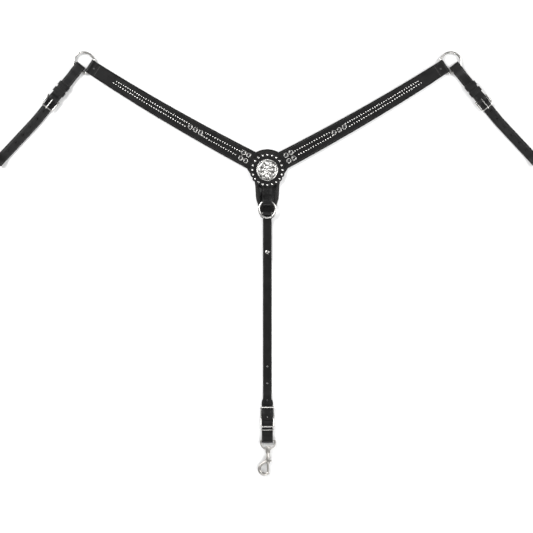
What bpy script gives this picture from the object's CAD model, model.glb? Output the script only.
import math

import bmesh
import bpy
import numpy as np
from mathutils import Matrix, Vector


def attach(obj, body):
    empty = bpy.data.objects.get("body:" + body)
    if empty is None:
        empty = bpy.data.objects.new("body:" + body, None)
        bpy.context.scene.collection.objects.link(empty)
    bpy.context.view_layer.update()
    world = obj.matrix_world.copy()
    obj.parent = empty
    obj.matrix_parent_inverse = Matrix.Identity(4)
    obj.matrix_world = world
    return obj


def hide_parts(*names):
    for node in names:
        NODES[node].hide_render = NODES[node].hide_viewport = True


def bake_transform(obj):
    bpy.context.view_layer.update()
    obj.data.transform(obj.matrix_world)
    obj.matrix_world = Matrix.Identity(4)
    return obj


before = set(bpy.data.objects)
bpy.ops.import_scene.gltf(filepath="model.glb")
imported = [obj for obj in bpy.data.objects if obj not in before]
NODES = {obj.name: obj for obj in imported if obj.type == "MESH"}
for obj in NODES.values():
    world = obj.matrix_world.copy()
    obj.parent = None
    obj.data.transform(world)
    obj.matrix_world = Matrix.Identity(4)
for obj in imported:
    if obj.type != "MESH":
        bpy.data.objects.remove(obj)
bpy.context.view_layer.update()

MM = 0.001

# ------------------------------------------------------------------ materials


def new_mat(name):
    m = bpy.data.materials.new(name)
    m.use_nodes = True
    nt = m.node_tree
    b = nt.nodes["Principled BSDF"]
    return m, nt, b


def tex(nt, kind, scale, detail=4.0, **kw):
    t = nt.nodes.new(kind)
    t.inputs["Scale"].default_value = scale
    if "Detail" in t.inputs:
        t.inputs["Detail"].default_value = detail
    for k, v in kw.items():
        t.inputs[k].default_value = v
    return t


def coords(nt):
    return nt.nodes.new("ShaderNodeTexCoord").outputs["Object"]


def ramp(nt, src, a, b, ca, cb):
    r = nt.nodes.new("ShaderNodeValToRGB")
    r.color_ramp.elements[0].position = a
    r.color_ramp.elements[1].position = b
    r.color_ramp.elements[0].color = (*ca, 1)
    r.color_ramp.elements[1].color = (*cb, 1)
    nt.links.new(src, r.inputs["Fac"])
    return r.outputs["Color"]


def maprange(nt, src, a, b, c, d):
    r = nt.nodes.new("ShaderNodeMapRange")
    for i, v in zip((1, 2, 3, 4), (a, b, c, d)):
        r.inputs[i].default_value = v
    nt.links.new(src, r.inputs[0])
    return r.outputs[0]


def mix(nt, fac, a, b):
    n = nt.nodes.new("ShaderNodeMix")
    n.data_type = "RGBA"
    nt.links.new(fac, n.inputs[0])
    for s, v in ((6, a), (7, b)):
        if isinstance(v, tuple):
            n.inputs[s].default_value = (*v, 1)
        else:
            nt.links.new(v, n.inputs[s])
    return n.outputs[2]


def bump(nt, b, sources):
    last = None
    for src, strength, dist in sources:
        n = nt.nodes.new("ShaderNodeBump")
        n.inputs["Strength"].default_value = strength
        n.inputs["Distance"].default_value = dist
        nt.links.new(src, n.inputs["Height"])
        if last:
            nt.links.new(last, n.inputs["Normal"])
        last = n.outputs["Normal"]
    nt.links.new(last, b.inputs["Normal"])


def leather(name, dark, light, worn, rough):
    m, nt, b = new_mat(name)
    co = coords(nt)
    cloud = tex(nt, "ShaderNodeTexNoise", 28.0, 5.0)
    fine = tex(nt, "ShaderNodeTexNoise", 900.0, 3.0)
    pores = tex(nt, "ShaderNodeTexVoronoi", 1150.0)
    creases = tex(nt, "ShaderNodeTexNoise", 160.0, 8.0)
    for t in (cloud, fine, pores, creases):
        nt.links.new(co, t.inputs["Vector"])
    base = ramp(nt, cloud.outputs["Fac"], 0.35, 0.68, dark, light)
    att = nt.nodes.new("ShaderNodeAttribute")
    att.attribute_name = "edge"
    edge = maprange(nt, att.outputs["Fac"], 0.0, 1.0, 0.0, 0.55)
    col = mix(nt, edge, base, worn)
    nt.links.new(col, b.inputs["Base Color"])
    nt.links.new(maprange(nt, creases.outputs["Fac"], 0.3, 0.7, rough - 0.08, rough + 0.1), b.inputs["Roughness"])
    b.inputs["Specular IOR Level"].default_value = 0.24
    b.inputs["Coat Weight"].default_value = 0.04
    b.inputs["Coat Roughness"].default_value = 0.3
    bump(nt, b, [(creases.outputs["Fac"], 0.25, 0.0005), (pores.outputs["Distance"], 0.35, 0.00022), (fine.outputs["Fac"], 0.2, 0.0001)])
    return m


def metal(name, base, dark, rough, scratch=0.12, cavity=False):
    m, nt, b = new_mat(name)
    co = coords(nt)
    cloud = tex(nt, "ShaderNodeTexNoise", 220.0, 4.0)
    hair = tex(nt, "ShaderNodeTexNoise", 1400.0, 2.0)
    for t in (cloud, hair):
        nt.links.new(co, t.inputs["Vector"])
    col = ramp(nt, cloud.outputs["Fac"], 0.25, 0.6, tuple(0.82 * c for c in base), base)
    if cavity:
        att = nt.nodes.new("ShaderNodeAttribute")
        att.attribute_name = "edge"
        col = mix(nt, att.outputs["Fac"], col, dark)
    nt.links.new(col, b.inputs["Base Color"])
    b.inputs["Metallic"].default_value = 1.0
    nt.links.new(maprange(nt, cloud.outputs["Fac"], 0.3, 0.7, rough - 0.05, rough + 0.09), b.inputs["Roughness"])
    bump(nt, b, [(hair.outputs["Fac"], scratch, 0.00005), (cloud.outputs["Fac"], 0.06, 0.0003)])
    return m


BLACK = leather("black_harness_leather", (0.0028, 0.0028, 0.0029), (0.0075, 0.0073, 0.0072), (0.02, 0.019, 0.018), 0.38)
LINING = leather("black_lining_leather", (0.0055, 0.0052, 0.005), (0.013, 0.012, 0.011), (0.026, 0.022, 0.02), 0.6)
NICKEL = metal("nickel_plate", (0.62, 0.61, 0.59), (0.1, 0.1, 0.1), 0.2)
SATIN = metal("satin_nickel", (0.46, 0.445, 0.42), (0.1, 0.1, 0.1), 0.33)
DARKM = metal("blackened_rivet", (0.1, 0.1, 0.1), (0.03, 0.03, 0.03), 0.3)
SPOTM = metal("polished_spots", (0.78, 0.77, 0.75), (0.1, 0.1, 0.1), 0.14)
SILVER = metal("antique_silver", (0.68, 0.67, 0.65), (0.035, 0.033, 0.03), 0.24, 0.2, True)


def stone_mat():
    m, nt, b = new_mat("onyx")
    n = tex(nt, "ShaderNodeTexNoise", 500.0, 3.0)
    nt.links.new(coords(nt), n.inputs["Vector"])
    nt.links.new(ramp(nt, n.outputs["Fac"], 0.3, 0.7, (0.003, 0.003, 0.004), (0.012, 0.012, 0.014)), b.inputs["Base Color"])
    b.inputs["Roughness"].default_value = 0.08
    b.inputs["Coat Weight"].default_value = 0.6
    bump(nt, b, [(n.outputs["Fac"], 0.03, 0.0001)])
    return m


ONYX = stone_mat()


def thread_mat():
    m, nt, b = new_mat("waxed_thread")
    w = tex(nt, "ShaderNodeTexNoise", 2600.0, 2.0)
    nt.links.new(coords(nt), w.inputs["Vector"])
    nt.links.new(ramp(nt, w.outputs["Fac"], 0.3, 0.7, (0.05, 0.048, 0.045), (0.13, 0.125, 0.12)), b.inputs["Base Color"])
    b.inputs["Roughness"].default_value = 0.6
    bump(nt, b, [(w.outputs["Fac"], 0.4, 0.0001)])
    return m


THREAD = thread_mat()

# ------------------------------------------------------------------ mesh tools


def build(name, V, F, body, nodes, mat, slot, edge=None, angle=None):
    me = bpy.data.meshes.new(name)
    me.from_pydata([tuple(v) for v in np.asarray(V, float) * MM], [], [tuple(int(i) for i in f) for f in F])
    me.validate()
    if edge is not None:
        a = me.attributes.new("edge", "FLOAT", "POINT")
        a.data.foreach_set("value", np.clip(np.asarray(edge, float), 0, 1))
    bm = bmesh.new()
    bm.from_mesh(me)
    bmesh.ops.recalc_face_normals(bm, faces=bm.faces)
    bm.to_mesh(me)
    bm.free()
    me.polygons.foreach_set("use_smooth", [True] * len(me.polygons))
    if angle:
        me.set_sharp_from_angle(angle=math.radians(angle))
    me.materials.append(mat)
    ob = bpy.data.objects.new(name, me)
    bpy.context.scene.collection.objects.link(ob)
    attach(ob, body)
    if nodes:
        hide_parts(*nodes)
    return ob


class Bag:
    """Gathers several shapes into one mesh."""

    def __init__(self):
        self.V, self.F, self.E, self.n = [], [], [], 0

    def add(self, V, F, E=None):
        V = np.asarray(V, float)
        self.V.append(V)
        self.F += [tuple(int(i) + self.n for i in f) for f in F]
        self.E.append(np.zeros(len(V)) if E is None else np.asarray(E, float))
        self.n += len(V)

    def make(self, *a, **k):
        return build(a[0], np.vstack(self.V), self.F, *a[1:], edge=np.concatenate(self.E), **k)


def grid_faces(n, k, closed_n=False, closed_k=True):
    F = []
    for i in range(n if closed_n else n - 1):
        j = (i + 1) % n
        for a in range(k if closed_k else k - 1):
            b = (a + 1) % k
            F.append((i * k + a, i * k + b, j * k + b, j * k + a))
    return F


def chaikin(P, rounds=2, keep=True):
    P = np.asarray(P, float)
    for _ in range(rounds):
        Q = [P[0]]
        for a, b in zip(P[:-1], P[1:]):
            Q += [0.75 * a + 0.25 * b, 0.25 * a + 0.75 * b]
        Q.append(P[-1])
        P = np.array(Q)
    return P


def resample(P, step):
    P = np.asarray(P, float)
    d = np.r_[0, np.cumsum(np.linalg.norm(np.diff(P, axis=0), axis=1))]
    n = max(int(round(d[-1] / step)), 2)
    s = np.linspace(0, d[-1], n + 1)
    return np.stack([np.interp(s, d, P[:, i]) for i in range(P.shape[1])], 1), s


def arc(cx, cz, r, a0, a1, n=12):
    a = np.radians(np.linspace(a0, a1, n + 1))
    return [(cx + r * math.cos(t), cz + r * math.sin(t)) for t in a]


def section(w, t, groove=3.0, gdepth=0.35, er=0.8, fine=None):
    """Closed outline of a strap seen end on, with eased edges and a creased border line. Returns across, height, edge factor, top flag."""
    er = min(er, t * 0.45, w * 0.25)
    ds = [0.0, 0.12, 0.35, 0.7, 1.1, 1.7]
    if groove and w > 2 * groove + 2:
        ds += [groove - 0.7, groove - 0.35, groove, groove + 0.35, groove + 0.8]
    ds = sorted(d for d in set(ds) if d < w / 2 - 0.2)
    inner = np.linspace(ds[-1], w - ds[-1], max(4, int((w - 2 * ds[-1]) / (fine or 1.6)) + 2))[1:-1] if w > 2 * ds[-1] + 0.2 else []
    top = [(d, d) for d in ds] + [(x, min(x, w - x)) for x in inner] + [(w - d, d) for d in reversed(ds)]
    A, B, E, T = [], [], [], []
    for x, d in top:
        k = max(er - d, 0) / er
        h = t - er * (1 - math.sqrt(max(1 - k * k, 0)))
        if groove and w > 2 * groove + 2:
            h -= gdepth * math.exp(-((d - groove) / 0.42) ** 2)
        A.append(x - w / 2)
        B.append(h)
        E.append(math.exp(-((d / 0.7) ** 2)))
        T.append(1)
    br = min(0.4, t * 0.25)
    for x, h in ((w / 2, br), (w / 2 - br * 0.3, br * 0.3), (w / 2 - br, 0), (w / 6, 0), (-w / 6, 0), (-w / 2 + br, 0), (-w / 2 + br * 0.3, br * 0.3), (-w / 2, br)):
        A.append(x)
        B.append(h)
        E.append(0.3)
        T.append(0)
    return np.array(A), np.array(B), np.array(E), np.array(T)


def sweep(P, S, w, t, groove=3.0, gdepth=0.35, er=0.8, closed=False, relief=None, fine=None, wear=0.0):
    """A strap of leather laid along P, its width along S and its thickness away from T x S. w and t may vary along it."""
    P, S = np.asarray(P, float), np.asarray(S, float)
    n = len(P)
    w = np.broadcast_to(np.asarray(w, float), n)
    t = np.broadcast_to(np.asarray(t, float), n)
    if closed:
        T = np.roll(P, -1, 0) - np.roll(P, 1, 0)
    else:
        T = np.gradient(P, axis=0)
    T /= np.linalg.norm(T, axis=1)[:, None]
    N = np.cross(T, S)
    N /= np.linalg.norm(N, axis=1)[:, None]
    wm = w.max()
    A0, _, _, _ = section(wm, t.max(), groove, gdepth, er, fine)
    sd = np.r_[0, np.cumsum(np.linalg.norm(np.diff(P, axis=0), axis=1))]
    V, E = [], []
    for i in range(n):
        A, B, e, top = section(wm, t[i], groove, gdepth, er, fine)
        A = A * (w[i] / wm)
        if relief is not None:
            B = B + top * relief(sd[i], A, w[i])
        V.append(P[i] + A[:, None] * S[i] + B[:, None] * N[i])
        E.append(e + wear * abs(math.sin(sd[i] * 0.7)) * 0)
    k = len(A0)
    F = grid_faces(n, k, closed)
    V, E = np.vstack(V), np.concatenate(E)
    if not closed:
        for end, ring in ((0, 0), (1, n - 1)):
            base = ring * k
            inner = V[base : base + k]
            c = inner.mean(0)
            tdir = T[ring] * (-0.35 if end == 0 else 0.35)
            cap = inner + (c - inner) * 0.0
            loc = inner - c
            a = loc @ S[ring]
            b = loc @ N[ring]
            cap = c + tdir + np.outer(a * (1 - 0.7 / max(w[ring], 2)), S[ring]) + np.outer(b * 0.62, N[ring])
            o = len(V)
            V = np.vstack([V, cap])
            E = np.r_[E, np.full(k, 0.6)]
            for q in range(k):
                r = (q + 1) % k
                F.append((base + q, base + r, o + r, o + q))
            F.append(tuple(range(o, o + k)))
    return V, F, E


def tube(P, r, closed=False, seg=20, cap=True):
    P = np.asarray(P, float)
    n = len(P)
    r = np.broadcast_to(np.asarray(r, float), n)
    T = (np.roll(P, -1, 0) - np.roll(P, 1, 0)) if closed else np.gradient(P, axis=0)
    T /= np.linalg.norm(T, axis=1)[:, None]
    up = np.array([0, 0, 1.0]) if abs(T[:, 2]).max() < 0.9 else np.array([1.0, 0, 0]) if abs(T[:, 0]).max() < 0.9 else np.array([0, 1.0, 0])
    X = np.cross(T, up)
    X /= np.linalg.norm(X, axis=1)[:, None]
    Y = np.cross(T, X)
    a = np.linspace(0, 2 * math.pi, seg, endpoint=False)
    V = [P[i] + r[i] * (np.outer(np.cos(a), X[i]) + np.outer(np.sin(a), Y[i])) for i in range(n)]
    F = grid_faces(n, seg, closed)
    V = np.vstack(V)
    if not closed and cap:
        for ring, sg in ((0, -1), (n - 1, 1)):
            c = P[ring]
            prev = [ring * seg + q for q in range(seg)]
            for f, g in ((0.9, 0.3), (0.6, 0.62), (0.2, 0.75)):
                o = len(V)
                V = np.vstack([V, c + sg * T[ring] * r[ring] * g * 0.5 + (V[ring * seg : ring * seg + seg] - c) * f])
                cur = list(range(o, o + seg))
                for q in range(seg):
                    F.append((prev[q], prev[(q + 1) % seg], cur[(q + 1) % seg], cur[q]))
                prev = cur
            F.append(tuple(prev))
    return V, F


def lathe(profile, c, seg=32, axis="z"):
    """Profile of (radius, height) turned about a line through c."""
    pr = np.asarray(profile, float)
    a = np.linspace(0, 2 * math.pi, seg, endpoint=False)
    V = []
    for r, h in pr:
        if axis == "z":
            V.append(np.stack([r * np.cos(a), r * np.sin(a), np.full(seg, h)], 1))
        else:
            V.append(np.stack([r * np.cos(a), np.full(seg, h), r * np.sin(a)], 1))
    V = np.vstack(V) + np.asarray(c, float)
    F = grid_faces(len(pr), seg)
    if pr[0][0] > 1e-6:
        F.append(tuple(range(seg)))
    if pr[-1][0] > 1e-6:
        F.append(tuple(range((len(pr) - 1) * seg, len(pr) * seg)))
    return V, F


def dome(c, r, h, seg=16):
    a = np.radians([0, 12, 30, 48, 66, 82])
    prof = [(r * 0.97, -0.05)] + [(r * math.cos(t), 0.12 + (h - 0.12) * math.sin(t)) for t in a] + [(0.02, h)]
    return lathe(prof, c, seg)


def stitch_run(bag, pts, normals, pitch=3.4, length=2.5, r=0.36):
    """Lays single stitches along a line of points."""
    Q, s = resample(np.hstack([pts, normals]), 0.5)
    total = s[-1]
    k = max(int(total / pitch), 1)
    for i in range(k):
        m = (i + 0.5) * total / k
        c = np.array([np.interp(m, s, Q[:, j]) for j in range(6)])
        c2 = np.array([np.interp(min(m + 0.6, total), s, Q[:, j]) for j in range(3)])
        c1 = np.array([np.interp(max(m - 0.6, 0), s, Q[:, j]) for j in range(3)])
        T = c2 - c1
        T /= np.linalg.norm(T)
        N = c[3:6] / np.linalg.norm(c[3:6])
        X = np.cross(N, T)
        T = T * math.cos(0.12) + X * math.sin(0.12)
        X = np.cross(N, T)
        ring = []
        for f, rr in ((-0.5, 0.15), (-0.42, 0.7), (-0.2, 1), (0.2, 1), (0.42, 0.7), (0.5, 0.15)):
            sag = 0.05 - 0.25 * (abs(f) * 2) ** 3
            for q in range(6):
                b = q * math.pi / 3
                ring.append(c[:3] + T * f * length + N * (sag + rr * r * 0.8 * math.sin(b)) + X * rr * r * math.cos(b))
        F = grid_faces(6, 6)
        F += [tuple(range(6)), tuple(range(30, 36))]
        bag.add(ring, F)


def cut(ob, cutters):
    """Real punched holes: takes the cutter solids out of ob's mesh."""
    V, F, n = [], [], 0
    for cv, cf in cutters:
        V += [tuple(v) for v in np.asarray(cv, float) * MM]
        F += [tuple(int(i) + n for i in f) for f in cf]
        n = len(V)
    me = bpy.data.meshes.new("cutter")
    me.from_pydata(V, [], F)
    bm = bmesh.new()
    bm.from_mesh(me)
    bmesh.ops.recalc_face_normals(bm, faces=bm.faces)
    bm.to_mesh(me)
    bm.free()
    co = bpy.data.objects.new("cutter", me)
    bpy.context.scene.collection.objects.link(co)
    md = ob.modifiers.new("holes", "BOOLEAN")
    md.object = co
    md.operation = "DIFFERENCE"
    md.solver = "EXACT"
    md.use_self = True
    md.use_hole_tolerant = True
    bpy.context.view_layer.update()
    dg = bpy.context.evaluated_depsgraph_get()
    new = bpy.data.meshes.new_from_object(ob.evaluated_get(dg))
    ob.modifiers.clear()
    ob.data = new
    new.polygons.foreach_set("use_smooth", [True] * len(new.polygons))
    new.set_sharp_from_angle(angle=math.radians(50))
    bpy.data.objects.remove(co)


def peg(x, y, z0, z1, r, seg=24):
    return lathe([(r, z0), (r, z1)], (x, y, 0), seg)


def slab(c, ux, uy, lx, ly, z0, z1):
    c, ux, uy = np.array(c, float), np.array(ux, float), np.array(uy, float)
    P = [c[:2] + sx * lx / 2 * ux + sy * ly / 2 * uy for sx, sy in ((-1, -1), (1, -1), (1, 1), (-1, 1))]
    V = [(p[0], p[1], z0) for p in P] + [(p[0], p[1], z1) for p in P]
    return V, [(0, 1, 2, 3), (4, 5, 6, 7), (0, 1, 5, 4), (1, 2, 6, 5), (2, 3, 7, 6), (3, 0, 4, 7)]


def mirror(V, sg):
    V = np.array(V, float)
    V[:, 0] *= sg
    return V


# ------------------------------------------------------------------ the same rules as the CAD
def cy(u):
    return 3.34 + 0.51588 * u + 0.00013543 * u * u + 3 * (u / 388) ** 4


def sl(u):
    return 0.51588 + 0.00027086 * u + 12 / 388 * (u / 388) ** 3


def wd(u):
    return 41.7 - 0.0283 * u


def at(u, f):
    k = math.sqrt(1 + sl(u) ** 2)
    return np.array([u - sl(u) / k * wd(u) * f, cy(u) + wd(u) * f / k])


BAR_U = 387.8
A = math.atan(sl(BAR_U))
BAR = np.array([BAR_U, cy(BAR_U)])
OUT = np.array([math.cos(A), math.sin(A)])
CROSS = np.array([-math.sin(A), math.cos(A)])
DEE = BAR + 17.1 * OUT
TA = math.radians(-51.3)


def catmull(P, n=6):
    P = [np.array(p, float) for p in P]
    out = []
    for i in range(len(P) - 1):
        a, b, c, d = P[max(i - 1, 0)], P[i], P[i + 1], P[min(i + 2, len(P) - 1)]
        for j in range(n):
            t = j / n
            out.append(0.5 * (2 * b + (c - a) * t + (2 * a - 5 * b + 4 * c - d) * t * t + (3 * b - a - 3 * c + d) * t ** 3))
    out.append(P[-1])
    return out


# ------------------------------------------------------------------ yoke
def plate(name, outline, z0, t, body, nodes, mat, slot, hole=None):
    """Flat ply with eased edges, built ring by ring inwards from its outline."""
    O, _ = resample(np.vstack([outline, outline[:1]]), 1.6)
    O = O[:-1]
    n = len(O)
    T = np.roll(O, -1, 0) - np.roll(O, 1, 0)
    T /= np.linalg.norm(T, axis=1)[:, None]
    area = 0.5 * np.sum(O[:, 0] * np.roll(O[:, 1], -1) - np.roll(O[:, 0], -1) * O[:, 1])
    I = np.stack([-T[:, 1], T[:, 0]], 1) * (1 if area > 0 else -1)
    V, E = [], []
    for d, h, e in ((0.5, 0.0, 0.4), (0.12, 0.15 * t, 0.6), (0, 0.4 * t, 1), (0.05, 0.72 * t, 1), (0.3, 0.93 * t, 0.8), (0.8, t, 0.3), (2.2, t, 0), (2.6, t - 0.3, 0.1), (3.0, t, 0)):
        V.append(np.c_[O + I * d, np.full(n, z0 + h)])
        E.append(np.full(n, e))
    F = grid_faces(len(V), n)
    F.append(tuple(range(n)))
    F.append(tuple(range((len(V) - 1) * n, len(V) * n)))
    ob = build(name, np.vstack(V), F, body, nodes, mat, slot, edge=np.concatenate(E))
    return ob, O, I


yside = catmull([(0, 46.2), (13, 44.4), (25.2, 39.4)], 6)
ylow = catmull([(45.1, 3.9), (35, -12), (29, -23), (26.7, -31.8), (25.5, -49.3), (24.5, -62.4), (20.6, -75.6), (17.2, -94), (14.5, -102), (8.5, -106), (0, -106.9)], 6)
half = yside + [at(38, 0.5), at(44, 0.5), at(44, -0.5)] + ylow
outline = np.array(half + [np.array([-p[0], p[1]]) for p in reversed(half[1:-1])])
ob, O, I = plate("yoke_backing_leather", outline, 0, 2.0, "collar", ["yoke_backing"], LINING, "lining")
cut(ob, [peg(0, 0, -1, 1.1, 5.0, 32)])
thread = Bag()
# stitched round the free edge of the backing, seen beside the tail ply and the tab
for sg in (1, -1):
    low = np.array([(sg * p[0], p[1]) for p in ylow])
    q, _ = resample(low, 2)
    q = q[(q[:, 1] < -24)]
    T = np.gradient(q, axis=0)
    T /= np.linalg.norm(T, axis=1)[:, None]
    nin = np.stack([T[:, 1], -T[:, 0]], 1) * sg
    q2 = q + nin * 2.6
    stitch_run(thread, np.c_[q2, np.full(len(q2), 2.0)], np.tile([0, 0, 1.0], (len(q2), 1)))

ohalf = catmull([(21, -14), (24, -30), (20.8, -44), (17.8, -60), (15.8, -72)], 6)
ooutl = np.array([np.array(p) for p in ohalf] + [np.array([14.5, -74.5]), np.array([-14.5, -74.5])] + [np.array([-p[0], p[1]]) for p in reversed(ohalf)])
# the tail ply starts below the wing straps, under the rosette
ooutl[:, 1] = np.minimum(ooutl[:, 1], -24 + 0.0 * ooutl[:, 0])
ooutl[:, 0] = np.clip(ooutl[:, 0], -23.2, 23.2)
plate("yoke_tail_ply", ooutl, 2.0, 1.5, "collar", ["yoke_overlay"], BLACK, "harness_leather")


# ------------------------------------------------------------------ wings
def wing_path():
    us = np.arange(10.0, 374.0, 2.0)
    P = [(u, cy(u), 2.0) for u in us]
    S = [(-math.sin(math.atan(sl(u))), math.cos(math.atan(sl(u))), 0) for u in us]
    w = [wd(u) for u in us]
    t = [3.5] * len(us)
    prof = [(-13.6, 2.0, 3.5), (-11, 2.25, 3.4), (-8.5, 3.9, 3.1), (-6, 5.4, 2.8), (-3, 6.95, 2.4), (-1, 7.5, 2.1), (0, 7.6, 2.0)]
    for a in range(75, -91, -15):
        prof.append((2.8 * math.cos(math.radians(a)), 4.8 + 2.8 * math.sin(math.radians(a)), 2.0))
    for s in range(-2, -31, -2):
        prof.append((s, 2.0, 2.0))
    for s, z, th in prof:
        p = BAR + OUT * s
        P.append((p[0], p[1], z))
        S.append((CROSS[0], CROSS[1], 0))
        w.append(wd(BAR_U))
        t.append(th)
    return np.array(P), np.array(S), np.array(w), np.array(t)


def wing_relief(s, a, w):
    """Tooled line curving round the rosette at the inner end, and a swell between the spot rows' border lines."""
    u = 10.0 + s * 0.87
    x = u - 0.47 * a
    y = cy(min(u, 388)) + 0.88 * a
    r = np.hypot(x, y)
    g = -0.35 * np.exp(-(((r - 46.0) / 0.6) ** 2)) - 0.2 * np.exp(-(((r - 48.2) / 0.5) ** 2))
    d = w / 2 - np.abs(a)
    g = g - 0.18 * np.exp(-(((d - 4.9) / 0.4) ** 2)) * (s < 405)
    return g


def setting(i):
    return at(157.5 + (i - 1) * 11.2, 0) if i < 3 else at(44.2 + ((i - 3) % 2) * 11, 0.17 if i < 5 else -0.17)


for side, sg in (("left", -1), ("right", 1)):
    P, S, w, t = wing_path()
    V, F, E = sweep(P, S, w, t, groove=3.3, gdepth=0.4, er=1.0, relief=wing_relief, fine=1.1)
    ob = build("wing_strap_" + side, mirror(V, sg), F, "collar", ["wing_" + side], BLACK, "harness_leather", edge=E)
    us = np.linspace(44.2, BAR_U - 30.3 * math.cos(A), 120)
    P = np.array([(u, cy(u), 0) for u in us])
    S = np.array([(-math.sin(math.atan(sl(u))), math.cos(math.atan(sl(u))), 0) for u in us])
    V, F, E = sweep(P, S, [wd(u) for u in us], 2.0, groove=0, er=0.5)
    build("wing_backing_" + side, mirror(V, sg), F, "collar", ["wing_lining_" + side], LINING, "lining", edge=E)
    # crosswise stitching behind the dee, front and back
    for zz, nz in ((5.52, 1.0), (0.0, -1.0)):
        c = BAR - OUT * 18.0
        line = np.array([[*(c + CROSS * k), zz] for k in np.linspace(-13.2, 13.2, 30)])
        stitch_run(thread, mirror(line, sg), np.tile([0, 0, nz], (30, 1)), 2.9, 2.2)
    # edge stitching on the back through the lining
    for f in (0.5, -0.5):
        line = []
        for u in np.linspace(46, 356, 150):
            p = at(u, f * (1 - 2 * 3.3 / wd(u)))
            line.append([sg * p[0], p[1], 0.0])
        stitch_run(thread, np.array(line), np.tile([0, 0, -1.0], (150, 1)), 3.6, 2.6)
        line = [[v[0], v[1], 5.2] for v in line]
        stitch_run(thread, np.array(line), np.tile([0, 0, 1.0], (150, 1)), 3.6, 2.4, 0.3)
    spots = Bag()
    for a, b, n, f0, f1 in ((331.8, 173.8, 33, 0.12, 0.15), (137.8, 63.4, 15, 0.12, 0.15), (335.1, 178.3, 31, -0.09, -0.13), (141, 67, 15, -0.09, -0.13)):
        for i in range(n):
            u = a + (b - a) * i / (n - 1)
            p = at(u, f0 + (f1 - f0) * (331 - u) / 270)
            spots.add(*dome((sg * p[0], p[1], 5.45), 1.6, 1.15, 14))
    spots.make("wing_domed_spots_" + side, "collar", ["wing_spots_" + side], SPOTM, "nickel")
    cups, stones = Bag(), Bag()
    for i in range(7):
        p = setting(i)
        c = (sg * p[0], p[1], 5.45)
        prof = [(5.5, 0), (5.55, 0.4), (5.3, 0.75), (4.9, 0.8), (4.75, 1.1), (4.6, 1.7), (4.25, 2.05), (3.85, 2.0), (3.6, 1.7), (3.55, 0.6), (0.05, 0.6)]
        e = np.repeat([0, 0, 0, 0.7, 0.5, 0, 0, 0, 0.4, 1, 1], 32)
        cups.add(*lathe(prof, c, 32), e)
        for k in range(20):
            t_ = k * math.pi / 10
            cups.add(*dome((c[0] + 5.05 * math.cos(t_), c[1] + 5.05 * math.sin(t_), c[2] + 0.62), 0.5, 0.62, 8))
        stones.add(*lathe([(3.5, 0.62), (3.52, 1.5), (3.3, 2.0), (2.8, 2.5), (2.1, 2.85), (1.2, 3.05), (0.03, 3.12)], c, 32))
    cups.make("stone_bezels_" + side, "collar", ["bezels_" + side], SILVER, "antique_silver")
    stones.make("black_stones_" + side, "collar", ["stones_" + side], ONYX, "onyx")
    rv = Bag()
    c = BAR - OUT * 9.9
    rv.add(*lathe([(1.5, 0.3), (1.5, 6.4), (2.3, 6.4), (2.35, 6.8), (2.1, 7.2), (1.5, 7.45), (0.03, 7.55)], (sg * c[0], c[1], 0), 24))
    rv.add(*lathe([(2.2, 0.8), (2.3, 0.3), (1.9, 0.05), (0.03, 0.0)], (sg * c[0], c[1], 0.05), 24))
    rv.make("wing_rivet_" + side, "collar", ["end_rivet_" + side], DARKM, "nickel")

# ------------------------------------------------------------------ centre tab
tab = [(-50, 5.5), (-58, 5.5), (-66, 5.5), (-71, 5.5)] + arc(-73, 9.95, 4.45, 270, 90, 14) + [(-70, 14.4), (-67.5, 14.4), (-64, 13.2), (-59.6, 10.6), (-54, 7.2), (-49.4, 5.6), (-46, 4), (-43, 3.5), (-36, 3.5), (-21.8, 3.5)]
q, s = resample(chaikin(tab, 2), 0.55)
P = np.c_[np.zeros(len(q)), q]
front = s[-1]


def basket(s_, a, w):
    """Woven stamping between plain borders on the front of the tab."""
    d = front - s_
    if d < 15 or d > 55:
        return 0 * a
    fade = min((d - 15) / 1.5, (55 - d) / 1.5, 1.0)
    inside = np.clip((w / 2 - np.abs(a) - 3.4) / 0.8, 0, 1)
    cx, cyy = a / 4.2, d / 3.0
    cell = (np.floor(cx) + np.floor(cyy)) % 2
    fx, fy = cx - np.floor(cx) - 0.5, cyy - math.floor(cyy) - 0.5
    weave = np.where(cell > 0.5, np.cos(fx * math.pi) * (0.7 + 0.3 * np.cos(fy * 6 * math.pi)), np.cos(fy * math.pi) * (0.7 + 0.3 * np.cos(fx * 6 * math.pi)))
    return (0.5 * weave - 0.5) * fade * inside


V, F, E = sweep(P, np.tile([-1.0, 0, 0], (len(P), 1)), 21, 2.0, groove=2.4, gdepth=0.3, er=0.7, relief=basket, fine=0.6)
build("ring_tab", V, F, "collar", ["center_tab"], BLACK, "harness_leather", edge=E)


# ------------------------------------------------------------------ rosette, spots, concho
def polar(R, H, nth, radii, z0, under, edge=None):
    """Disc whose outer radius R(theta) and top H(theta, k) follow rules; k runs 0 at the centre to 1 at the rim."""
    th = np.linspace(0, 2 * math.pi, nth, endpoint=False)
    V, E = [(0, 0, z0 + H(np.array([0.0]), 0.0)[0])], [0 if edge is None else edge(np.array([0.0]), 0.0)[0]]
    for k in radii:
        r = R(th) * k
        h = H(th, k)
        V += list(np.stack([r * np.cos(th), r * np.sin(th), z0 + h], 1))
        E += list(np.zeros(nth) if edge is None else edge(th, k))
    for k, h in under:
        r = R(th) * k
        V += list(np.stack([r * np.cos(th), r * np.sin(th), np.full(nth, z0 + h)], 1))
        E += [0.5] * nth
    n = len(radii) + len(under)
    F = [(0, 1 + i, 1 + (i + 1) % nth) for i in range(nth)]
    F += [tuple(1 + x for x in f) for f in grid_faces(n, nth)]
    F.append(tuple(range(1 + (n - 1) * nth, 1 + n * nth)))
    return V, F, E


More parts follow.
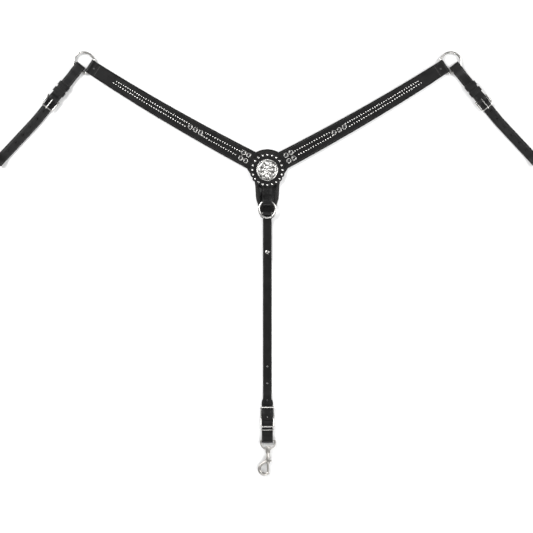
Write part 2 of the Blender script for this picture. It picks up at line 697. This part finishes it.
def rosette_r(th):
    d = (np.degrees(th) % 18.0)
    d = np.minimum(d, 18.0 - d)
    a = np.radians(d)
    s = 32.7 * np.sin(a)
    return 32.7 * np.cos(a) + np.sqrt(np.maximum(6.1 ** 2 - s * s, 0))


def rosette_h(th, k):
    R = rosette_r(th)
    d = R * (1 - k)
    h = 3.0 - 0.9 * (1 - np.sqrt(np.clip(1 - (np.clip(0.9 - d, 0, 0.9) / 0.9) ** 2, 0, 1)))
    h = h - 0.4 * np.exp(-(((d - 2.1) / 0.45) ** 2))
    r = R * k
    h = h - 0.3 * np.exp(-(((r - 27.2) / 0.5) ** 2))
    m = np.degrees(th) % 18.0
    m = np.minimum(m, 18 - m)
    off = np.radians(9 - m) * r
    h = h - 0.35 * np.exp(-((off / 0.5) ** 2)) * np.clip((r - 27.5) / 1.5, 0, 1)
    return h


rr = sorted(set([0.1, 0.3, 0.5, 0.62, 0.66, 0.69, 0.71, 0.725, 0.74, 0.755, 0.78, 0.81, 0.84, 0.87, 0.9, 0.915, 0.93, 0.945, 0.96, 0.975, 0.985, 0.993, 1.0]))
V, F, E = polar(rosette_r, rosette_h, 480, rr, 5.5, [(0.999, 1.2), (0.995, 0.3), (0.985, 0.0)], lambda th, k: np.full(len(th), 1.0 if k > 0.98 else 0.0))
build("scalloped_rosette", V, F, "collar", ["rosette"], BLACK, "harness_leather", edge=E)
bag = Bag()
for i in range(20):
    t_ = math.radians(i * 18)
    bag.add(*dome((33 * math.cos(t_), 33 * math.sin(t_), 8.45), 2.25, 1.6, 20))
bag.make("rosette_domed_spots", "collar", ["rosette_spots"], SPOTM, "nickel")


def concho_relief(th, k):
    """0 low to 1 high: scalloped rim, beads, eight petals round a small flower, with leaves between."""
    r = k * 24.2
    rim = np.exp(-(((r - 22.6) / 1.0) ** 2)) * (0.75 + 0.25 * np.abs(np.cos(th * 12)))
    pet = np.clip(np.cos(th * 4) ** 2, 0, 1) ** 0.7 * np.exp(-(((r - 14.2) / 4.3) ** 4))
    vein = 0.35 * np.exp(-((np.sin(th * 4 + math.pi / 2 * 0) / 0.12) ** 2)) * np.exp(-(((r - 14) / 3.0) ** 2))
    vein = np.where(np.cos(th * 4) ** 2 > 0.5, 0.3 * np.exp(-((np.abs(np.sin(th * 4)) / 0.16) ** 2)) * np.exp(-(((r - 14) / 3.0) ** 4)), 0)
    leaf = 0.75 * np.exp(-(((r - 18.8) / 1.6) ** 2)) * np.clip(np.sin(th * 4) ** 2, 0, 1) ** 1.5
    curl = 0.3 * np.cos(th * 24 + r * 1.6) * np.exp(-(((r - 18) / 2.4) ** 2))
    mid = 0.9 * np.clip(np.cos(th * 3) ** 2, 0, 1) ** 0.5 * np.exp(-(((r - 6.2) / 2.4) ** 4))
    hub = 1.0 * np.exp(-((r / 2.6) ** 4)) * (0.85 + 0.15 * np.cos(th * 10 + r * 3))
    beads = 0.5 * np.exp(-(((r - 9.6) / 0.6) ** 2)) * np.cos(th * 16) ** 2
    return np.clip(np.maximum.reduce([rim, pet - vein, leaf + curl * 0.5, mid, hub, beads]), 0, 1)


def concho_r(th):
    return 24.2 - 0.55 * (1 - np.abs(np.cos(th * 4)) ** 0.6)


V, F, E = polar(
    concho_r,
    lambda th, k: 0.9 + 1.5 * math.sqrt(max(1 - (k * 0.93) ** 2, 0)) + 1.25 * concho_relief(th, k) - (1.1 if k > 0.995 else 0.0),
    480,
    list(np.linspace(0.015, 1.0, 76)),
    8.5,
    [(1.0, 0.5), (0.985, 0.05)],
    lambda th, k: np.clip(0.92 - 1.5 * concho_relief(th, k), 0, 1),
)
build("flower_concho", V, F, "collar", ["concho"], SILVER, "antique_silver", edge=E)
V, F = lathe([(0.03, 0.1), (4.3, 0.12), (4.85, 0.35), (4.9, 0.9), (2.4, 1.1), (2.4, 8.3), (0.03, 8.4)], (0, 0, 0), 32)
build("concho_back_screw", V, F, "collar", ["concho_screw"], NICKEL, "nickel", angle=40)

# ------------------------------------------------------------------ dees
for side, sg in (("left", -1), ("right", 1)):
    loc = []
    for a in np.linspace(-15, 195, 90):
        loc.append((22 * math.cos(math.radians(a)), 22 * math.sin(math.radians(a))))
    lx, ly = 22 * math.cos(math.radians(15)), -22 * math.sin(math.radians(15))
    L = (17.1 - 22 * math.sin(math.radians(15))) / math.cos(math.radians(15))
    kx = lx - L * math.sin(math.radians(15))
    cl = [(-lx + 0.2588 * 7, ly - 0.9659 * 7)] + [(-kx + 0.35 + 1.6 * (1 - math.cos(x)) , -17.1 + 1.6 * (1 - math.sin(x))) for x in np.linspace(0.1, math.pi / 2 - 0.05, 6)][0:0]
    cl += [(-kx - 0.25, -15.6), (-kx + 0.5, -16.75), (-kx + 1.9, -17.1)]
    bar = [(x, -17.1) for x in np.linspace(-kx + 3.5, kx - 3.5, 12)]
    loc = loc + cl + bar + [(-x, y) for x, y in reversed(cl)]
    loc, _ = resample(np.array(loc + loc[:1]), 0.9)
    loc = loc[:-1]
    pts = np.array([[*(DEE + OUT * y + CROSS * (-x)), 4.8] for x, y in loc])
    V, F = tube(mirror(pts, sg), 2.48, closed=True, seg=24)
    build("dee_ring_" + side, V, F, "dee_%s_body" % side, ["dee_" + side], NICKEL, "nickel")

# ------------------------------------------------------------------ tugs
ss = np.arange(-2, 300, 0.5)
ang = TA + math.radians(4.3) * np.clip((ss - 138) / 36, 0, 1) ** 2 * (3 - 2 * np.clip((ss - 138) / 36, 0, 1))
base = DEE + (7.4 - 2) * np.array([math.cos(TA), math.sin(TA)]) + 1.0 * np.array([-math.sin(TA), math.cos(TA)])
px = base[0] + np.r_[0, np.cumsum(np.cos(ang[:-1]) * 0.5)]
py = base[1] + np.r_[0, np.cumsum(np.sin(ang[:-1]) * 0.5)]


def tug3(s, y, z):
    a = np.interp(s, ss, ang)
    return np.array([np.interp(s, ss, px) - math.sin(a) * y, np.interp(s, ss, py) + math.cos(a) * y, z])


def tug_dir(s):
    a = np.interp(s, ss, ang)
    return np.array([math.cos(a), math.sin(a), 0]), np.array([-math.sin(a), math.cos(a), 0])


FAR = 156 + 123
inner = [(56, 8.3), (70, 8.3), (85.8, 8.3), (88.8, 9.3), (91.4, 10.7), (95, 11.3), (98, 11.3), (101, 10.7), (104, 9.2), (108, 6.5), (112, 4.0), (116, 2.5), (120, 2.3), (140, 2.3), (200, 2.3), (254, 2.3), (264, 4), (269, 6.2), (273, 8.9), (276, 9.8)]
inner += arc(FAR, 6, 4, 90, -90, 14)
inner += [(270, 2.0), (200, 2.0), (100, 2.0), (10, 2.0)]
inner += arc(4.8, 4.8, 2.8, 270, 90, 14)
inner += [(12, 7.6), (18, 7.6), (21, 7.2), (26, 5.5), (30, 4.6), (40, 4.6), (47, 5.6), (52, 6), (70, 6), (85.8, 6), (88.8, 6.9), (92.2, 8.5), (95, 8.95)]
inner += arc(97, 6.6, 2.3, 90, -90, 12)
inner += [(94, 4.3), (91, 4.6), (88, 5.5), (84, 6.0), (70, 6.0), (50, 6.0)]
INN, INS = resample(chaikin(inner, 2), 1.0)
for side, sg in (("left", -1), ("right", 1)):
    P = np.array([tug3(s, 0, z) for s, z in INN])
    S = np.array([tug_dir(s)[1] for s, z in INN])
    d = INS
    w = np.full(len(P), 22.2)
    w = np.where(d < 9, 22.2 * np.sqrt(np.clip(1 - ((9 - d) / 9.3) ** 2, 0.02, 1)), w)
    V, F, E = sweep(P, S, w, 2.0, groove=2.6, gdepth=0.28, er=0.7)
    ob = build("tug_strap_leather_" + side, mirror(V, sg), F, "tug_%s_body" % side, ["tug_strap_" + side], BLACK, "harness_leather", edge=E)
    cuts = []
    rims = Bag()
    hs = [131, 152.5] + [156 + h - 1.2 for h in (22, 45, 68, 91)]
    for h in hs:
        c = tug3(h, 0, 0)
        cuts.append(peg(sg * c[0], c[1], 2.15, 7, 2.0))
        a = np.linspace(0, 2 * math.pi, 28, endpoint=False)
        rim = np.stack([sg * c[0] + 2.35 * np.cos(a), c[1] + 2.35 * np.sin(a), np.full(28, 4.26)], 1)
        rims.add(*tube(rim, 0.32, closed=True, seg=8))
    D, N2 = tug_dir(100)
    D2, N3 = np.array([sg * D[0], D[1]]), np.array([sg * N2[0], N2[1]])
    c = tug3(96, 0, 0)
    cuts.append(slab((sg * c[0], c[1]), D2, N3, 14, 5.4, 2.2, 11.0))
    c = tug3(104.5, 0, 0)
    cuts.append(slab((sg * c[0], c[1]), D2, N3, 14, 4.8, 2.2, 14.2))
    cut(ob, cuts)
    rims.make("tug_hole_rims_" + side, "tug_%s_body" % side, [], BLACK, "harness_leather")
    th = Bag()
    for s0, s1 in ((30, 54), (67, 70)):
        pass
    for y in (-8.3, 8.3):
        zs = np.interp(np.linspace(24, 54, 30), [18, 23, 30, 40, 47, 52, 60], [7.6, 6.6, 4.6, 4.6, 5.6, 6, 6])
        line = np.array([tug3(s, y, z + 1.95) for s, z in zip(np.linspace(24, 54, 30), zs)])
        stitch_run(th, mirror(line, sg), np.tile([0, 0, 1.0], (30, 1)), 3.2, 2.3, 0.32)
    line = np.array([tug3(53.6, y, 8.0) for y in np.linspace(-7.5, 7.5, 12)])
    stitch_run(th, mirror(line, sg), np.tile([0, 0, 1.0], (12, 1)), 3.0, 2.2, 0.32)
    th.make("tug_stitching_" + side, "tug_%s_body" % side, [], THREAD, "harness_leather")
    # keepers: a band of leather bent round the strap
    for nm, node, bd, sc, wi, z0, z1, tt, ts in (
        ("fixed_keeper_", "tug_keeper_fixed_", "tug_%s_body" % side, 60.5, 22.2, 4.0, 10.3, 1.6, 2.4),
        ("sliding_keeper_", "tug_keeper_sliding_", "keeper_%s_body" % side, 76.5, 23.4, 3.7, 10.6, 1.4, 2.2),
    ):
        r = 1.3
        loop = []
        for cx_, cz_, a0 in ((wi / 2 - r, z1 - r, 0), (-wi / 2 + r, z1 - r, 90), (-wi / 2 + r, z0 + r, 180), (wi / 2 - r, z0 + r, 270)):
            loop += arc(cx_, cz_, r, a0, a0 + 90, 5)
        q, _ = resample(np.array(loop + loop[:1]), 0.8)
        q = q[:-1]
        P = np.array([tug3(sc, y, z) for y, z in q])
        Dn, _n = tug_dir(sc)
        nrm_side = np.tile(-Dn, (len(P), 1))
        th_ = tt + (ts - tt) * np.clip((np.abs(q[:, 0]) - wi / 2 + r) / r, 0, 1)
        V, F, E = sweep(P, nrm_side, 11, th_, groove=1.9, gdepth=0.25, er=0.6, closed=True)
        test = V[:, 2].max()
        if test < z1 + 0.5 * tt:
            V, F, E = sweep(P, -nrm_side, 11, th_, groove=1.9, gdepth=0.25, er=0.6, closed=True)
        build(nm + side, mirror(V, sg), F, bd, [node + side], BLACK, "harness_leather", edge=E)
    # buckle frame and tongue
    bk = Bag()
    fr = [(97, -14.3), (105, -14.3), (115.2, -14.3)] + [(115.2 + 5 * math.sin(x), -9.3 - 5 * math.cos(x)) for x in np.linspace(0, math.pi / 2, 8)] + [(120.2, -5), (120.2, 5)] + [(115.2 + 5 * math.cos(x), 9.3 + 5 * math.sin(x)) for x in np.linspace(0, math.pi / 2, 8)] + [(105, 14.3), (97, 14.3)]
    q, _ = resample(np.array(fr), 0.9)
    P = np.array([tug3(s, y, 6.6) for s, y in q])
    bk.add(*tube(mirror(P, sg), 2.08, seg=20))
    P = np.array([tug3(97, y, 6.6) for y in np.linspace(-14.6, 14.6, 12)])
    bk.add(*tube(mirror(P, sg), 1.98, seg=20))
    for e in (-1, 1):
        P = np.array([tug3(97, e * y, 6.6) for y in np.linspace(13.0, 16.4, 8)])
        bk.add(*tube(mirror(P, sg), [2.2, 2.55, 2.7, 2.72, 2.72, 2.65, 2.4, 1.9], seg=20))
    bk.make("buckle_frame_" + side, "buckle_%s_body" % side, ["tug_buckle_" + side], NICKEL, "nickel", angle=60)
    tg = Bag()
    a = np.linspace(0, 2 * math.pi, 24, endpoint=False)
    P = np.array([tug3(97 + 3.0 * math.cos(x), 0, 6.6 + 3.0 * math.sin(x)) for x in a])
    ring_V, ring_F = [], []
    for k in range(24):
        x = a[k]
        for rr_, yy in ((2.34, -1.6), (3.55, -1.6), (3.7, -1.2), (3.7, 1.2), (3.55, 1.6), (2.34, 1.6)):
            ring_V.append(tug3(97 + rr_ * math.cos(x), yy, 6.6 + rr_ * math.sin(x)))
    tg.add(mirror(ring_V, sg), grid_faces(24, 6, True))
    P = np.array([tug3(s, 0, z) for s, z in ((98.5, 9.2), (101, 9.3), (106, 9.6), (112, 9.9), (117, 10.2), (120, 10.35), (122, 10.2), (123.4, 9.9))])
    Pq, _ = resample(P, 0.8)
    tg.add(*tube(mirror(Pq, sg), np.interp(np.linspace(0, 1, len(Pq)), [0, 0.5, 0.9, 1], [1.5, 1.4, 1.2, 0.9]), seg=16))
    tg.make("buckle_tongue_" + side, "tongue_%s_body" % side, ["tug_tongue_" + side], NICKEL, "nickel", angle=50)

# ------------------------------------------------------------------ centre ring
bag = Bag()
a = np.linspace(0, 2 * math.pi, 120, endpoint=False)
bag.add(*tube(np.stack([18.1 * np.cos(a), -86.1 + 18.1 * np.sin(a), np.full(120, 9.95)], 1), 2.4, closed=True, seg=24))
bag.add(*tube(np.array([[x, -93.7, 6.6] for x in np.linspace(-16.6, 16.6, 16)]), 1.8, seg=20))
for e in (-1, 1):
    bag.add(*dome((e * 16.2, -93.7, 7.2), 2.6, 1.4, 16))
bag.make("centre_ring", "ring_body", ["center_ring"], NICKEL, "nickel", angle=60)

# ------------------------------------------------------------------ tie-down
inner = [(-192, 2.2), (-160, 2.2), (-124, 2.2), (-118, 3.2), (-112, 4.4), (-106, 4.5), (-97, 4.5)] + arc(-93.7, 6.6, 2.1, -90, 90, 12)
inner += [(-95.6, 8.0), (-97.5, 6.3), (-99.3, 4.8), (-102, 4.5), (-112, 4.5), (-118, 3.3), (-122, 2.4), (-126, 2.2), (-186, 2.2), (-192.5, 2.2), (-198, 1.0), (-204, 0), (-210, 0), (-480, 0), (-486, 0.3), (-492, 1.9), (-498, 2.2), (-522, 2.2), (-527, 3.2), (-532, 5.0), (-536, 5.7), (-545.2, 5.7)]
q, s = resample(chaikin(inner, 2), 1.2)
P = np.c_[np.zeros(len(q)), q]
endd = s[-1] - s
w = np.where(endd < 9, 19.05 * np.sqrt(np.clip(1 - ((9 - endd) / 9.2) ** 2, 0.03, 1)), 19.05)
V, F, E = sweep(P, np.tile([1.0, 0, 0], (len(P), 1)), w, 2.2, groove=2.2, gdepth=0.26, er=0.75)
ob = build("tie_down_leather", V, F, "tie_down_body", ["tie_down_strap"], BLACK, "harness_leather", edge=E)
cut(ob, [peg(0, -430.3, -1, 5, 2.0), peg(0, -467.3, -1, 5, 2.0), peg(0, -504.8, 2.1, 8, 2.0), peg(0, -539.8, 3, 14, 1.65), peg(0, -179.6, -1, 8, 2.45), peg(0, -179.6, -1, 1.0, 4.45)])
bag = Bag()
for y, z in ((-430.3, 2.17), (-467.3, 2.17), (-504.8, 4.37), (-539.8, 7.87)):
    a = np.linspace(0, 2 * math.pi, 28, endpoint=False)
    bag.add(*tube(np.stack([2.3 * np.cos(a), y + 2.3 * np.sin(a), np.full(28, z)], 1), 0.3, closed=True, seg=8))
bag.make("tie_down_hole_rims", "tie_down_body", [], BLACK, "harness_leather")
bag = Bag()
bag.add(*lathe([(2.4, 0.8), (2.4, 4.3), (4.4, 4.4), (4.45, 4.75), (4.2, 5.2), (3.6, 5.65), (0.03, 5.8)], (0, -179.6, 0), 36))
bag.add(*lathe([(2.4, 1.0), (4.3, 0.95), (4.35, 0.4), (3.9, 0.1), (0.03, 0.08)], (0, -179.6, 0), 36))
ob = bag.make("tie_down_slotted_screw", "tie_down_body", ["tie_down_screw"], NICKEL, "nickel", angle=40)
cut(ob, [slab((0, -179.6), (0.82, 0.57), (-0.57, 0.82), 12, 1.1, 5.1, 8)])

# ------------------------------------------------------------------ snap strap
inner = [(-497.5, 2.2), (-510, 2.2), (-522, 2.2), (-527, 3.2), (-532, 5.0), (-536, 5.7), (-543, 5.7), (-548, 5.0), (-552, 4.1), (-556, 3.7), (-583, 3.7), (-588, 3.2), (-592, 2.8)] + arc(-593, 5.0, 2.2, 270, 90, 12)
inner += [(-591, 6.8), (-588, 5.4), (-584.5, 3.95), (-582, 3.7), (-556, 3.7), (-552, 4.1), (-549, 4.75)]
q, s = resample(chaikin(inner, 2), 1.0)
P = np.c_[np.zeros(len(q)), q]
w = np.where(s < 12, 24.2 * np.sqrt(np.clip(1 - ((12 - s) / 12.2) ** 2, 0.03, 1)), 24.2)
V, F, E = sweep(P, np.tile([-1.0, 0, 0], (len(P), 1)), w, 2.2, groove=2.4, gdepth=0.26, er=0.75)
ob = build("snap_strap_leather", V, F, "tie_down_body", ["snap_strap"], BLACK, "harness_leather", edge=E)
cut(ob, [peg(0, -539.8, 1, 14, 1.65), peg(0, -504.8, -1, 3.2, 2.0)])

# ------------------------------------------------------------------ three-bar buckle
bag = Bag()
for y, z, r, x in ((-519.1, 6.3, 1.9, 14.4), (-561.3, 7.8, 1.9, 14.4), (-539.8, 1.9, 1.6, 13.4)):
    bag.add(*tube(np.array([[k, y, z] for k in np.linspace(-x, x, 14)]), r, seg=20))
for e in (-1, 1):
    pth = chaikin([(-518.4, 6.3), (-524, 5.1), (-535, 2.15), (-539.8, 2.0), (-545, 2.2), (-556, 6.2), (-562, 7.8)], 2)
    q, _ = resample(pth, 0.9)
    V, F = tube(np.c_[np.full(len(q), 0.0), q], 1.75, seg=16)
    V[:, 0] = V[:, 0] * 0.8 + e * 13.9
    bag.add(V, F)
prong = chaikin([(-539.8, 2.4), (-539.8, 6.0), (-540.0, 8.6), (-540.6, 9.5)], 2)
q, _ = resample(prong, 0.5)
V, F = tube(np.c_[np.zeros(len(q)), q][:, [0, 1, 2]], np.interp(np.linspace(0, 1, len(q)), [0, 0.7, 1], [1.45, 1.35, 0.85]), seg=16)
bag.add(V, F)
bag.make("three_bar_buckle", "tie_down_body", ["conway_buckle"], NICKEL, "nickel", angle=60)

# metal keeper: a bent strip
bag = Bag()
loop = []
for cx_, cz_, a0 in ((12.1, 5.6, 0), (-12.1, 5.6, 90), (-12.1, 2.0, 180), (12.1, 2.0, 270)):
    loop += arc(cx_, cz_, 1.0, a0, a0 + 90, 5)
q, _ = resample(np.array(loop + loop[:1]), 0.7)
q = q[:-1]
P = np.c_[q[:, 0], np.full(len(q), -568.9), q[:, 1]]
V, F, E = sweep(P, np.tile([0, 1.0, 0], (len(P), 1)), 2.6, np.where(q[:, 1] < 1.4, 0.85, 1.4), groove=0, er=0.5, closed=True)
if V[:, 2].max() < 7.0:
    V, F, E = sweep(P, np.tile([0, -1.0, 0], (len(P), 1)), 2.6, np.where(q[:, 1] < 1.4, 0.85, 1.4), groove=0, er=0.5, closed=True)
build("metal_keeper", V, F, "keeper_loop_body", ["keeper_loop"], NICKEL, "nickel")

# ------------------------------------------------------------------ CAD metal kept, eased and finished
for n, m in (("snap_eye", SATIN), ("snap_body", SATIN), ("snap_bolt", SATIN)):
    o = NODES[n]
    o.data.materials.clear()
    o.data.materials.append(m)
    o.data.polygons.foreach_set("use_smooth", [True] * len(o.data.polygons))
    wl = o.modifiers.new("weld", "WELD")
    wl.merge_threshold = 0.000005
    bv = o.modifiers.new("ease", "BEVEL")
    bv.width = 0.0003
    bv.segments = 2
    bv.limit_method = "ANGLE"
    bv.angle_limit = math.radians(40)
    bv.harden_normals = True

# coil spring behind the bolt: follows the barrel at the top, the bolt below
a = np.linspace(0, 2 * math.pi * 4.6, 190)
V, F = tube(np.stack([1.2 + 1.9 * np.cos(a), np.linspace(-626.0, -634.8, 190), 5.0 + 1.9 * np.sin(a)], 1), 0.32, seg=10)
me = bpy.data.meshes.new("bolt_return_spring")
me.from_pydata([tuple(v) for v in np.asarray(V, float) * MM], [], [tuple(int(i) for i in f) for f in F])
me.polygons.foreach_set("use_smooth", [True] * len(me.polygons))
me.materials.append(SATIN)
ob = bpy.data.objects.new("bolt_return_spring", me)
bpy.context.scene.collection.objects.link(ob)
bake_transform(ob)
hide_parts("snap_spring")

thread.make("collar_stitching", "collar", [], THREAD, "harness_leather")

# ------------------------------------------------------------------ stage, light, camera
scene = bpy.context.scene
bpy.ops.mesh.primitive_plane_add(size=20, location=(0, -0.2, -0.0002))
floor = bpy.context.active_object
floor.name = "floor"
fm, nt, b = new_mat("pale_floor")
b.inputs["Base Color"].default_value = (0.86, 0.86, 0.86, 1)
b.inputs["Roughness"].default_value = 0.8
floor.data.materials.append(fm)

world = bpy.data.worlds.new("soft")
scene.world = world
world.use_nodes = True
bg = world.node_tree.nodes["Background"]
wt = world.node_tree
wco = wt.nodes.new("ShaderNodeTexCoord")
wsep = wt.nodes.new("ShaderNodeSeparateXYZ")
wt.links.new(wco.outputs["Generated"], wsep.inputs[0])
wt.links.new(ramp(wt, maprange(wt, wsep.outputs["Z"], 0.0, 1.0, 0.0, 1.0), 0.22, 0.72, (0.24, 0.24, 0.245), (1, 1, 1)), bg.inputs["Color"])
bg.inputs["Strength"].default_value = 0.42
scene.view_settings.view_transform = "Standard"


def area(name, loc, size, power, target=(0, -0.2, 0)):
    d = bpy.data.lights.new(name, "AREA")
    d.shape = "RECTANGLE"
    d.size, d.size_y = size
    d.energy = power
    o = bpy.data.objects.new(name, d)
    scene.collection.objects.link(o)
    o.location = loc
    v = Vector(target) - Vector(loc)
    o.rotation_euler = v.to_track_quat("-Z", "Y").to_euler()
    return o


area("key", (-1.7, 1.0, 1.7), (1.8, 1.0), 66)
area("fill", (1.9, 0.3, 1.5), (1.6, 1.4), 44)
area("rim", (0.2, -2.2, 1.3), (2.0, 0.7), 30)

cam = bpy.data.cameras.new("camera")
cam.lens = 100
cam.sensor_width = 36
cam.clip_end = 20
co = bpy.data.objects.new("camera", cam)
scene.collection.objects.link(co)
co.location = (-0.00175, -0.2113, 3.2425 + 0.005)
co.rotation_euler = (0, 0, 0)
scene.camera = co
